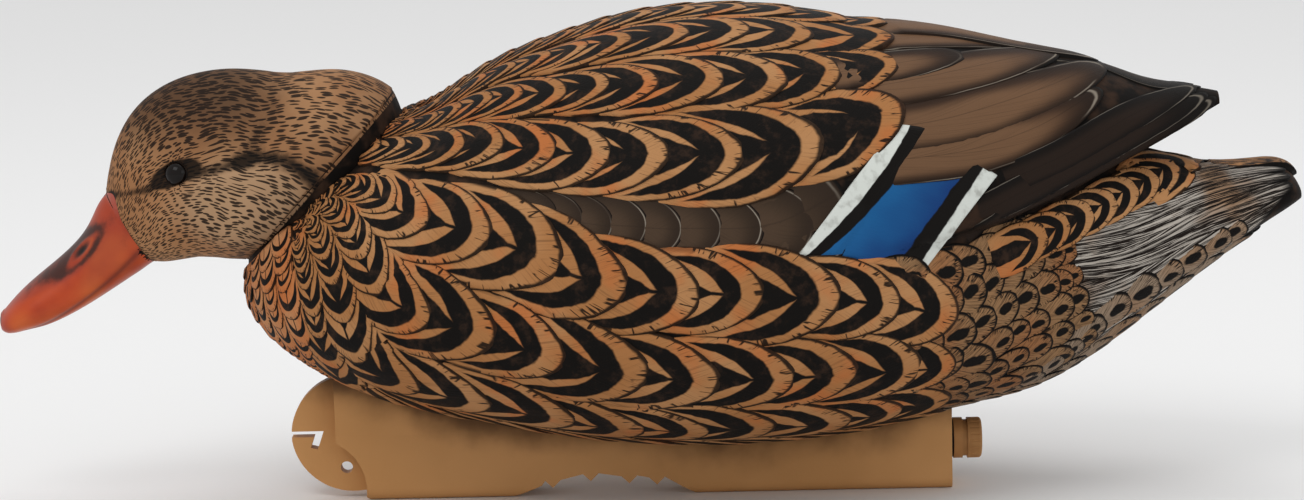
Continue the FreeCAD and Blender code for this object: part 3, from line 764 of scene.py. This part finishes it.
def smooth_normals(normals, rounds=6):
    """Normals averaged over neighbours, so that the CAD's flat facets don't show."""
    smooth = np.array([[tuple(v) for v in row] for row in normals])
    for _ in range(rounds):
        beside, between = neighbour_means(smooth)
        smooth = smooth + beside + between
        smooth /= np.linalg.norm(smooth, axis=2, keepdims=True)
    return smooth


def smooth_places(grid, rounds=5):
    smooth = np.array([[tuple(v) for v in row] for row in grid])
    for _ in range(rounds):
        beside, between = neighbour_means(smooth)
        smooth = smooth * 0.5 + beside * 0.25 + between * 0.25
    return smooth


def skin_piece(name, places, masks, material, body="head"):
    """A closed ring mesh with masks as colours; its UVs are length from the bill (0.1 m) and turn."""
    rows, columns = places.shape[:2]
    steps = np.linalg.norm(np.diff(places, axis=0), axis=2)
    run = 10 * np.concatenate([np.zeros((1, columns)), np.cumsum(steps, axis=0)])
    for _ in range(RUN_ROUNDS):
        run = (np.roll(run, 1, 1) + run + np.roll(run, -1, 1)) / 3
    faces, uvs = [], []
    for r in range(rows - 1):
        for c in range(columns):
            d = (c + 1) % columns
            faces.append((r * columns + c, r * columns + d, (r + 1) * columns + d, (r + 1) * columns + c))
            uvs += [(run[r, c], c / columns), (run[r, d], (c + 1) / columns),
                    (run[r + 1, d], (c + 1) / columns), (run[r + 1, c], c / columns)]
    mesh = bpy.data.meshes.new(name)
    mesh.from_pydata([tuple(p) for p in places.reshape(-1, 3)], [], faces)
    layer = mesh.uv_layers.new(name="flow")
    layer.data.foreach_set("uv", np.array(uvs).ravel())
    colours = mesh.color_attributes.new("masks", "FLOAT_COLOR", "POINT")
    values = np.ones((rows * columns, 4))
    values[:, :3] = masks.reshape(-1, 3)
    colours.data.foreach_set("color", values.ravel())
    mesh.shade_smooth()
    mesh.materials.append(material)
    piece = new_object(name, mesh)
    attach(piece, body)


def head_paint():
    """Short dark strokes that follow the lie of the feathers, over tan; masks: dark (painted marks and
    painted shade), pale, crown.
    """
    s = Shader("head_paint", 0.66)
    dark, pale, crown = s.masks()
    u, v = s.uv("flow")
    place = s.place()
    drift = s.times(s.ripple(place, 60.0), 0.035)
    # The strokes get longer from the face to the neck.
    run = s.times(s.math("LOGARITHM", s.times_plus(u, 1.3, 1.0), math.e), 29.0)
    flow = s.vector(run, s.times(s.plus(v, drift), 178.0))
    distance, size = s.cells(flow, 0.8)
    reach = s.times_plus(crown, 0.1, s.times_plus(size, 0.15, 0.25))
    stroke = s.ease(s.minus(distance, reach), 0.06, -0.06)
    ground = s.mix(s.patches(place, 50.0, 0.35, 0.7, 3.0), paint(150, 106, 71), paint(164, 123, 87))
    ground = s.mix(pale, ground, paint(166, 134, 103))
    ground = s.mix(crown, ground, paint(66, 47, 34), 0.85)
    colour = s.mix(stroke, ground, paint(32, 23, 18), 0.95)
    # The dark mask in near black with ragged edges: the eye stripe and eye patch, and painted shade in the
    # head's grooves and at its edges.
    soft_dark = s.times_plus(s.ripple(place, 170.0, 4.0, 0.7), 0.9, dark)
    colour = s.mix(s.ease(soft_dark, 0.15, 0.95), colour, BLACK, 0.95)
    return s.finish(colour, stroke, 0.0002, -0.6)


def bill_paint():
    """Orange, redder on top, with a dark saddle and random patches of painted highlight; masks: saddle,
    nostril, lip line.
    """
    s = Shader("bill_paint", 0.36, 0.25)
    saddle, nostril, line = s.masks()
    place = s.place()
    ground = s.mix(s.patches(place, 70.0, 0.35, 0.7, 3.0), ORANGE, BRICK)
    # Bright orange in random patches: a painted highlight.
    ground = s.mix(s.patches(place, 30.0, 0.5, 0.7), ground, ORANGE_HIGHLIGHT, 0.5)
    ground = s.mix(s.ease(saddle, 0.0, 0.3), ground, paint(142, 52, 36), 0.6)
    soft_dark = s.times_plus(s.ripple(place, 130.0, 5.0, 0.6), 1.3, saddle)
    colour = s.mix(s.ease(soft_dark, 0.25, 0.9), ground, paint(36, 24, 20), 0.9)
    colour = s.mix(nostril, colour, BLACK)
    colour = s.mix(line, colour, paint(90, 32, 20), 0.7)
    return s.finish(colour, s.noise(place, 400.0, 3.0), 0.0001, 0.4)


def make_head():
    """The head's raised skin. Heights and widths are millimetres, and the masks go from 0 to 1."""
    rows, columns = 190, 240
    turns = np.degrees(2 * math.pi * np.arange(columns) / columns)
    notches = bell(turns - NOTCH_TURN, NOTCH_WIDTH) + bell(turns - (180 - NOTCH_TURN), NOTCH_WIDTH)
    grid, normals = fan_grid(HEAD_FAN, rows, columns, FACE_NOTCH * notches)
    places, outwards = smooth_places(grid), smooth_normals(normals)
    x, z = places[:, :, 0] / MM, places[:, :, 2] / MM
    stripe, along_stripe = distance_to(x, z, EYE_STRIPE)
    fold = distance_to(x, z, NAPE_FOLD)[0]
    rear = distance_to(x, z, CHEEK_REAR)[0]
    eye = np.hypot(x - EYE[0], z - EYE[1])
    corner = np.hypot((x - EYE[0]) / 8.5, (z - EYE[1] - 0.35 * (x - EYE[0])) / 4.2)
    cheek = ease(1 - np.hypot((x - CHEEK[0]) / 30, (z - CHEEK[1]) / 19), 0, 0.5)
    nape = ease(1 - np.hypot((x - NAPE[0]) / 22, (z - NAPE[1]) / 20), 0, 0.5)
    height = 0.45 + 1.5 * cheek + 0.5 * nape
    height -= 1.0 * bell(stripe, 2.6) + 0.7 * bell(fold, 3.5) + 1.3 * bell(rear, 2.6)
    height += 0.5 * bell(eye - 4.6, 0.9) - 0.4 * bell(eye, 3.4)
    share = np.linspace(0, 1, rows + 1)[:, None] * np.ones(columns)
    height = np.clip(height, 0.25, 3.0)
    height = height * ease(share, 0.0, 0.03) * ease(share, NECK_EDGE, NECK_EDGE - 0.01) + 0.05
    places = places + outwards * (height * MM)[:, :, None]
    # Dark mask: the eye stripe is a painted marking, deepened with painted shade along its groove.
    dark = (0.7 + 0.25 * along_stripe) * bell(stripe, 1.5 + 2.2 * along_stripe)
    # Painted shade in the groove at the cheek's rear and in the nape fold; the dark patch round the eye is
    # painted.
    dark += 0.85 * bell(rear, 2.6) + 0.4 * bell(fold, 3.5) + 1.1 * ease(corner, 1.15, 0.75)
    # Painted shade at the neck's edge and at the face's front edge, and darker low on the head.
    dark += 0.4 * ease(share, NECK_EDGE - 0.01, 1.0) + 0.6 * ease(share, 0.03, 0.0) + 0.25 * ease(z, 90, 83)
    crown = ease(z, 112, 136) * ease(x, -104, -136) + 0.35 * ease(share, 0.7, NECK_EDGE)
    pale = np.clip(cheek * 0.9, 0, 1)
    masks = np.stack([np.clip(dark, 0, 1), pale, np.clip(crown, 0, 1)], axis=2)
    skin_piece("head_plumage", places, masks, head_paint())


def make_bill():
    """The bill's raised skin, with its nostrils, lip line and nail."""
    rows, columns = 130, 120
    grid, normals = fan_grid(BILL_FAN, rows, columns, np.zeros(columns))
    places, outwards = smooth_places(grid, 3), smooth_normals(normals)
    x, z = places[:, :, 0] / MM, places[:, :, 2] / MM
    planes = len(BILL_FAN) - 1
    # Length along the bill as a share, which is 0 at the second plane, where the face ends.
    share = (np.linspace(0, planes, rows + 1)[:, None] * np.ones(columns) - 1) / (planes - 1)
    turn = (2 * math.pi * np.arange(columns) / columns)[None, :] * np.ones((rows + 1, 1))
    upward = np.sin(turn)
    off_x, off_z = x - NOSTRIL[0], z - NOSTRIL[1]
    nostril = np.hypot(off_x / 3.0, (off_z - 0.9 * off_x) / 1.6)
    lip = bell(upward + 0.52 + 0.12 * share, 0.07)
    height = 0.35 - 0.3 * lip - 0.3 * bell(nostril, 0.7) + 0.25 * bell(nostril - 1.3, 0.4)
    height += 0.2 * ease(share, 0.86, 0.9) * ease(upward, 0.3, 0.8)
    height = np.clip(height, 0.05, 1.0) * ease(share, 1.0, 0.97)
    height = height * ease(share, 0.0, 0.08) + 0.03
    places = places + outwards * (height * MM)[:, :, None]
    saddle = ease(upward, 0.15, 0.85) * ease(share, 0.85, 0.5) * ease(share, 0.06, 0.26) * 0.75
    saddle += 0.22 * ease(share, 0.4, 0.1) * ease(upward, -0.6, 0.0)
    saddle += 0.5 * bell(nostril - 2.4, 0.8) - 0.5 * bell(nostril - 1.2, 0.5)
    tip = 0.9 * ease(share, 0.93, 0.97) * ease(upward, -0.1, 0.4)
    masks = np.stack([np.clip(saddle + tip, 0, 1), bell(nostril, 0.75), lip], axis=2)
    skin_piece("bill_skin", places, masks, bill_paint())


# ---------------------------------------------------------------- plumage layout

FLANK_UPPER = [(-102, 107, SIDE), (-91, 108, SIDE), (-78, 106, SIDE), (-62, 103.5, SIDE), (-42, 98, SIDE),
               (-20, 87, SIDE), (4, 83, SIDE), (37, 79, SIDE), (70, 76, SIDE), (103, 66, SIDE)]
FLANK_LOWER = [(-118, 88, SIDE), (-115, 70, 4), (-104, 52, -20), (-84, 52, -50), (-60, 52, -64),
               (-30, 52, -68), (0, 52, -68), (34, 52, -68), (66, 52, -68), (99, 56, -66)]
BREAST_UPPER = [(-118, 88, SIDE, 0), (-115, 70, 4, 0), (-106, 54, -20, 0), (-92, 52, -46, 0),
                (-76, 52, -60, 0), (-60, 52, -66, 0)]
BREAST_LOWER = [(-100, 77, 0, 89), (-100, 68, -4, 89), (-98, 56, -20, 88), (-94, 50, -48, 86),
                (-84, 50, -74, 60), (-66, 50, -86, 0)]
BACK_UPPER = [(-75, 100, 92), (-70, 100, 92), (-58, 100, 92), (-42, 100, 92), (-26, 100, 92),
              (-6, 100, 92), (18, 100, 92), (46, 100, 92), (84, 100, 92)]
BACK_LOWER = [(-97, 111, SIDE), (-92, 111, SIDE), (-76, 110, SIDE), (-58, 107, SIDE), (-40, 101.5, SIDE),
              (-20, 97, SIDE), (4, 96, SIDE), (44, 99, SIDE), (86, 118, SIDE)]
COVERT_UPPER = [(-40, 99), (-16, 97), (18, 96), (50, 100), (80, 120)]
COVERT_LOWER = [(-36, 88), (-13, 82), (17, 79), (36, 77), (50, 77)]
SPECULUM_UPPER = [(84, 122), (94, 120), (105, 112), (117, 103.5)]
SPECULUM_LOWER = [(49, 77), (62, 77), (78, 74), (92, 72)]
RUMP_UPPER = [(120, 86), (137, 94), (154, 102), (168, 107), (179, 108)]
RUMP_LOWER = [(128, 74), (144, 82), (161, 90), (175, 97.5), (185, 102)]
VENT_UPPER = [(84, 75), (104, 80), (122, 89), (140, 90)]
VENT_LOWER = [(82, 24), (108, 29), (130, 37), (150, 49)]
UNDER_UPPER = [(94, 29, 0), (114, 35, 0), (134, 46, 4), (152, 62, SIDE), (172, 76, SIDE), (198, 90, SIDE)]
UNDER_LOWER = [(92, 28, -80), (112, 32, -78), (132, 39, -74), (160, 56, -68), (186, 77, -62), (206, 91, -60)]

# Long feathers, root first, each with its half width; each one lies over the one after it.
TERTIALS = [
    ([(66, 146, 34), (88, 149, 40), (112, 148, 45), (150, 140, 45)], 12),
    ([(50, 136), (76, 139), (106, 143)], 8),
    ([(60, 131), (84, 134), (106, 138), (137, 144)], 9.5),
    ([(62, 118), (86, 120), (104, 123), (134, 132), (152, 140)], 10),
    ([(62, 107), (84, 109), (106, 111.5), (130, 119), (151, 131)], 8.5),
    ([(66, 141, 24), (90, 144, 24), (116, 146, 24), (150, 143, 24)], 9),
]
PRIMARIES = [
    ([(113, 99), (137, 109), (161, 122), (182, 131)], 5.5),
    ([(103, 87), (131, 101), (158, 115), (186, 128.5)], 5.5),
    ([(97, 80), (117, 89), (144, 103), (168, 115.5), (189, 127.5)], 4.5),
    ([(126, 141, 40), (146, 140, 40), (164, 137, 40), (184, 131, 40)], 9),
]
TAIL_COVER = [
    ([(184, 104, 80), (198, 104, 80), (214, 104, 80)], 9),
    ([(160, 101), (174, 104), (190, 106), (209, 107)], 4.5),
]
TAIL = [
    ([(158, 98), (172, 101), (190, 103.5), (214, 105)], 5),
    ([(146, 90), (166, 93), (188, 99.5), (215, 103)], 5),
    ([(134, 80), (160, 85), (186, 95), (215, 101)], 5.5),
    ([(134, 72), (160, 76), (186, 88), (214, 98)], 6),
    ([(136, 62, 4), (160, 67, 6), (186, 81, SIDE), (212, 96, SIDE)], 6),
    ([(140, 66, -30), (160, 70, -20), (184, 82, -10), (208, 95, 0)], 7),
]


def make_plumage():
    barred = barred_paint("barred_paint")
    bold = barred_paint("bold_barred_paint", (0.74, 0.8), (0.46, 0.56), heart=0.42)
    orange, pale_orange = paint(178, 112, 66), paint(184, 130, 88)
    breast = barred_paint("breast_paint", (0.62, 0.7), (0.4, 0.54), orange, pale_orange, heart=0.05,
                          power=2.0)
    chevron = barred_paint("chevron_paint", (0.66, 0.8), (0.42, 0.52))
    tertial = plain_paint("tertial_paint", paint(56, 39, 28), paint(106, 78, 56), paint(26, 18, 13))
    primary = plain_paint("primary_paint", paint(22, 16, 12), paint(36, 26, 20), paint(12, 9, 8),
                          line_share=0.4)
    covert = plain_paint("covert_paint", paint(58, 45, 34), paint(72, 56, 43), paint(42, 32, 25),
                         line_width=0.02, line_share=0.8)
    front_spot = spotted_paint("front_spot_paint", orange, paint(190, 118, 70), 0.3)
    spot = spotted_paint("spotted_paint", paint(144, 110, 77), paint(150, 101, 64), 0.85)
    vent = spotted_paint("vent_paint", paint(146, 126, 106), paint(150, 116, 86), 0.85)
    tail = streaked_paint("tail_paint", paint(178, 170, 160), paint(154, 124, 98))
    tail_cover = streaked_paint("tail_cover_paint", PALE_TAN, TAN)
    panel("speculum", speculum_paint(), SPECULUM_UPPER, SPECULUM_LOWER,
          ((0, 0.31, 0.37, 0.76, 0.8, 1), (1.3, 1.3, 0.45, 0.45, 0.9, 0.9)))
    for name, material, plumes, skin, lift, step, rise in (
            ("primaries", primary, PRIMARIES, body_skin, 0.3, 0.25, 0.15),
            ("tertials", tertial, TERTIALS, body_skin, 0.4, 0.2, 0.2),
            ("tail_feathers", tail, TAIL, tail_skin, 0.3, 0.25, 0.1),
            ("tail_cover", tail_cover, TAIL_COVER, tail_skin, 1.6, 0.2, 0.1)):
        coat = Coat(name, material)
        for k, (controls, half) in enumerate(plumes[::-1]):
            lay_plume(coat, controls, half, skin, tilt=0.2, crown=0.35, lift=lift + step * k, root=0.9,
                      rise=rise, clear=None)
        coat.make()
    lay_tract("wing_coverts", [covert], COVERT_UPPER, COVERT_LOWER, [1], pitch=1.05, spread=1.4, tilt=0.3,
              crown=0.15, turn=0.04)
    lay_tract("flank", [barred], FLANK_UPPER, FLANK_LOWER, [1, 1, 1, 1], per_piece=1, pitch=1.35,
              long=3.0, jitter=0.12, power=POINTED)
    lay_tract("breast", [breast, front_spot], BREAST_UPPER, BREAST_LOWER, [1.2, 1.1, 1, 1, 1, 1],
              per_piece=3, jitter=0.22, pitch=1.3, turn=0.25)
    lay_tract("back", [bold], BACK_UPPER, BACK_LOWER, [0.85, 0.95, 1, 1.2], per_piece=1, pitch=1.45,
              long=3.3, jitter=0.1, tilt=1.3, power=POINTED)
    lay_tract("under_tail", [vent], UNDER_UPPER, UNDER_LOWER, [1, 1, 1], per_piece=3, pitch=1.4, jitter=0.15,
              tilt=0.5)
    lay_tract("vent", [spot], VENT_UPPER, VENT_LOWER, [1] * 6, per_piece=3, pitch=1.3, jitter=0.25,
              turn=0.3, spread=1.3, tilt=0.8, crown=0.4)
    lay_tract("rump", [chevron], RUMP_UPPER, RUMP_LOWER, [1], pitch=1.3, long=3.0, skin=tail_skin,
              lift=1.4, power=POINTED)


def dress_cad():
    """Finishes for the CAD pieces that stay in view, and for those that a moved part uncovers."""
    nylon = simple_paint("nylon_paint", paint(206, 200, 184), paint(190, 184, 168), 0.45)
    rubber = simple_paint("rubber_paint", paint(30, 30, 30), paint(44, 43, 42), 0.75)
    brass = simple_paint("brass_paint", paint(190, 150, 80), paint(170, 130, 66), 0.35, metal=1.0)
    steel = simple_paint("steel_paint", paint(170, 170, 168), paint(140, 140, 138), 0.3, metal=1.0)
    sand = simple_paint("sand_paint", paint(190, 164, 118), paint(140, 112, 74), 0.9, 2500.0)
    groove, eye = groove_shade_paint(), eye_paint()
    finishes = {
        # The shells show only in gaps, where their dark paint is partly painted shade.
        "body_shell": groove, "head_shell": groove, "eye_left": eye, "eye_right": eye,
        "neck_spigot": nylon, "neck_bushing": nylon, "neck_seal": rubber, "keel_shell": keel_paint(),
        "ballast_sand": sand, "keel_screws": steel, "screw_washers": rubber, "screw_inserts": brass,
        "keel_plug": plug_paint(), "plug_seal": rubber,
    }
    for node, finish in finishes.items():
        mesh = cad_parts[node].data
        mesh.materials.clear()
        mesh.materials.append(finish)


# ---------------------------------------------------------------- studio

def aim(thing, target):
    thing.rotation_euler = (Vector(target) - thing.location).to_track_quat("-Z", "Y").to_euler()


def softbox(name, place, target, size, power, colour=(1, 1, 1)):
    data = bpy.data.lights.new(name, "AREA")
    data.shape, data.size, data.size_y = "RECTANGLE", size[0], size[1]
    data.energy, data.color = power, colour
    light = new_object(name, data)
    light.location = place
    aim(light, target)


def make_studio():
    mesh = bpy.data.meshes.new("floor")
    mesh.from_pydata([(-4, -4, 0), (4, -4, 0), (4, 4, 0), (-4, 4, 0)], [], [(0, 1, 2, 3)])
    floor = new_object("floor", mesh)
    mesh.materials.append(Shader("floor_paint", 0.9).finish((0.86, 0.86, 0.86, 1)))
    world = bpy.data.worlds.new("studio")
    bpy.context.scene.world = world
    world.use_nodes = True
    world.node_tree.nodes["Background"].inputs[0].default_value = (1, 1, 1, 1)
    world.node_tree.nodes["Background"].inputs[1].default_value = 0.8
    softbox("key", (-0.6, -1.1, 1.5), (0, 0, 0.08), (1.0, 0.8), 7)
    softbox("top", (0.2, 0.3, 1.6), (0, 0, 0.1), (1.4, 1.0), 4)
    softbox("fill", (1.3, -1.2, 0.7), (0.05, 0, 0.08), (0.8, 0.8), 1.5)
    bpy.context.scene.view_settings.view_transform = "Standard"


def make_camera():
    data = bpy.data.cameras.new("camera")
    data.sensor_width, data.lens = 36.0, LENS
    camera = new_object("camera", data)
    camera.location = sight(0, 0, SIDE)[0]
    aim(camera, VIEW_CENTRE)
    camera.rotation_euler.rotate_axis("Z", math.radians(ROLL))
    bpy.context.scene.camera = camera


make_camera()
make_studio()
dress_cad()
make_head()
make_bill()
make_plumage()
